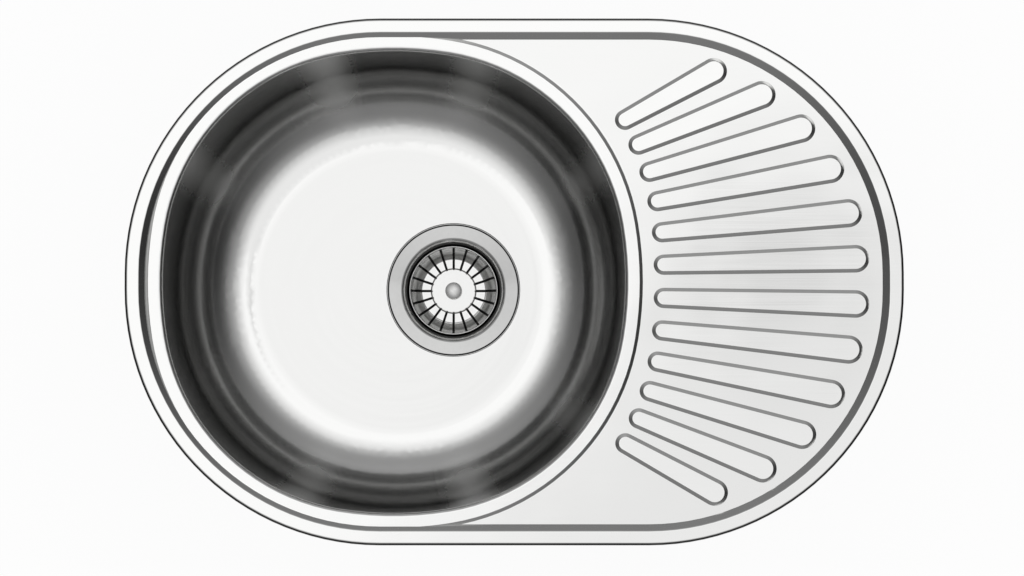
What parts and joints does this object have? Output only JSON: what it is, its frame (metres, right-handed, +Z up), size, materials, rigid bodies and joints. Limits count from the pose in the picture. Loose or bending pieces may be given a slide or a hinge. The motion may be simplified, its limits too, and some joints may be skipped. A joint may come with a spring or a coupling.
{
  "type": "kitchen sink with drainboard",
  "caption": "Round-ended inset kitchen sink: a rounded bowl with a basket strainer waste, beside a ribbed drainboard, with turn-out clamps under the rim.",
  "frame": {"origin": "middle of the sink's outline, on the worktop's top face, under the rim", "axes": "+X from the bowl to the drainboard, +Y to the rear, +Z up, out of the worktop"},
  "size_m": [0.65, 0.44, 0.26],
  "materials": {
    "brushed_sheet": "fine brushed stainless sheet",
    "brushed_bowl": "stainless, brushed round the bowl",
    "polished_steel": "polished stainless",
    "plain_steel": "mill-finish stainless",
    "zinc_steel": "bright zinc plate",
    "brass": "machined brass",
    "rubber": "moulded black rubber",
    "foam": "closed-cell foam strip",
    "damping_pad": "bitumen sheet",
    "moulded_plastic": "white polypropylene"
  },
  "bodies": {
    "sink": {"deck": "brushed_sheet", "bowl": "brushed_bowl", "rim_seal": "foam", "sound_pad": "damping_pad", "earth_tag": "plain_steel", "strainer_cup": "polished_steel", "flange_seal": "rubber", "body_gasket": "rubber", "waste_body": "moulded_plastic", "thread_insert": "brass", "strainer_screw": "plain_steel", "clamp_lugs": "plain_steel", "clamp_nuts": "zinc_steel"},
    "basket": {"basket": "polished_steel", "basket_disc": "polished_steel", "knob": "polished_steel", "stem": "plain_steel", "spacer": "moulded_plastic", "stopper": "rubber", "stem_nut": "plain_steel"},
    "washer_1": {"clamp_washer_1": "zinc_steel"},
    "claw_1": {"clamp_claw_1": "zinc_steel"},
    "screw_1": {"clamp_screw_1": "zinc_steel"},
    "washer_2": {"clamp_washer_2": "zinc_steel"},
    "claw_2": {"clamp_claw_2": "zinc_steel"},
    "screw_2": {"clamp_screw_2": "zinc_steel"},
    "washer_3": {"clamp_washer_3": "zinc_steel"},
    "claw_3": {"clamp_claw_3": "zinc_steel"},
    "screw_3": {"clamp_screw_3": "zinc_steel"},
    "washer_4": {"clamp_washer_4": "zinc_steel"},
    "claw_4": {"clamp_claw_4": "zinc_steel"},
    "screw_4": {"clamp_screw_4": "zinc_steel"},
    "washer_5": {"clamp_washer_5": "zinc_steel"},
    "claw_5": {"clamp_claw_5": "zinc_steel"},
    "screw_5": {"clamp_screw_5": "zinc_steel"},
    "washer_6": {"clamp_washer_6": "zinc_steel"},
    "claw_6": {"clamp_claw_6": "zinc_steel"},
    "screw_6": {"clamp_screw_6": "zinc_steel"}
  },
  "joints": [
    {"name": "basket_lift", "type": "slide", "parent": "sink", "child": "basket", "axis": [0, 0, 1], "range_m": [0, 0.21]},
    {"name": "clamp_1_climb", "type": "slide", "parent": "sink", "child": "washer_1", "axis": [0, 0, 1], "range_m": [0, 0.016]},
    {"name": "clamp_1_turn", "type": "hinge", "parent": "washer_1", "child": "screw_1", "pos_m": [-0.1005, 0.19985, -0.04], "axis": [0, 0, 1], "range_deg": [0, 8228.6]},
    {"name": "clamp_1_swing", "type": "hinge", "parent": "washer_1", "child": "claw_1", "pos_m": [-0.1005, 0.19985, -0.04], "axis": [0, 0, 1], "range_deg": [0, 90]},
    {"name": "clamp_2_climb", "type": "slide", "parent": "sink", "child": "washer_2", "axis": [0, 0, 1], "range_m": [0, 0.016]},
    {"name": "clamp_2_turn", "type": "hinge", "parent": "washer_2", "child": "screw_2", "pos_m": [0.0745, 0.19985, -0.04], "axis": [0, 0, 1], "range_deg": [0, 8228.6]},
    {"name": "clamp_2_swing", "type": "hinge", "parent": "washer_2", "child": "claw_2", "pos_m": [0.0745, 0.19985, -0.04], "axis": [0, 0, 1], "range_deg": [0, 90]},
    {"name": "clamp_3_climb", "type": "slide", "parent": "sink", "child": "washer_3", "axis": [0, 0, 1], "range_m": [0, 0.016]},
    {"name": "clamp_3_turn", "type": "hinge", "parent": "washer_3", "child": "screw_3", "pos_m": [0.30485, 0, -0.04], "axis": [0, 0, 1], "range_deg": [0, 8228.6]},
    {"name": "clamp_3_swing", "type": "hinge", "parent": "washer_3", "child": "claw_3", "pos_m": [0.30485, 0, -0.04], "axis": [0, 0, 1], "range_deg": [0, 90]},
    {"name": "clamp_4_climb", "type": "slide", "parent": "sink", "child": "washer_4", "axis": [0, 0, 1], "range_m": [0, 0.016]},
    {"name": "clamp_4_turn", "type": "hinge", "parent": "washer_4", "child": "screw_4", "pos_m": [0.0745, -0.19985, -0.04], "axis": [0, 0, 1], "range_deg": [0, 8228.6]},
    {"name": "clamp_4_swing", "type": "hinge", "parent": "washer_4", "child": "claw_4", "pos_m": [0.0745, -0.19985, -0.04], "axis": [0, 0, 1], "range_deg": [0, 90]},
    {"name": "clamp_5_climb", "type": "slide", "parent": "sink", "child": "washer_5", "axis": [0, 0, 1], "range_m": [0, 0.016]},
    {"name": "clamp_5_turn", "type": "hinge", "parent": "washer_5", "child": "screw_5", "pos_m": [-0.1005, -0.19985, -0.04], "axis": [0, 0, 1], "range_deg": [0, 8228.6]},
    {"name": "clamp_5_swing", "type": "hinge", "parent": "washer_5", "child": "claw_5", "pos_m": [-0.1005, -0.19985, -0.04], "axis": [0, 0, 1], "range_deg": [0, 90]},
    {"name": "clamp_6_climb", "type": "slide", "parent": "sink", "child": "washer_6", "axis": [0, 0, 1], "range_m": [0, 0.016]},
    {"name": "clamp_6_turn", "type": "hinge", "parent": "washer_6", "child": "screw_6", "pos_m": [-0.30135, 0, -0.04], "axis": [0, 0, 1], "range_deg": [0, 8228.6]},
    {"name": "clamp_6_swing", "type": "hinge", "parent": "washer_6", "child": "claw_6", "pos_m": [-0.30135, 0, -0.04], "axis": [0, 0, 1], "range_deg": [0, 90]}
  ],
  "couplings": [
    {"joint": "clamp_1_turn", "follows": "clamp_1_climb", "rad_per_m": 8976},
    {"joint": "clamp_2_turn", "follows": "clamp_2_climb", "rad_per_m": 8976},
    {"joint": "clamp_3_turn", "follows": "clamp_3_climb", "rad_per_m": 8976},
    {"joint": "clamp_4_turn", "follows": "clamp_4_climb", "rad_per_m": 8976},
    {"joint": "clamp_5_turn", "follows": "clamp_5_climb", "rad_per_m": 8976},
    {"joint": "clamp_6_turn", "follows": "clamp_6_climb", "rad_per_m": 8976}
  ]
}
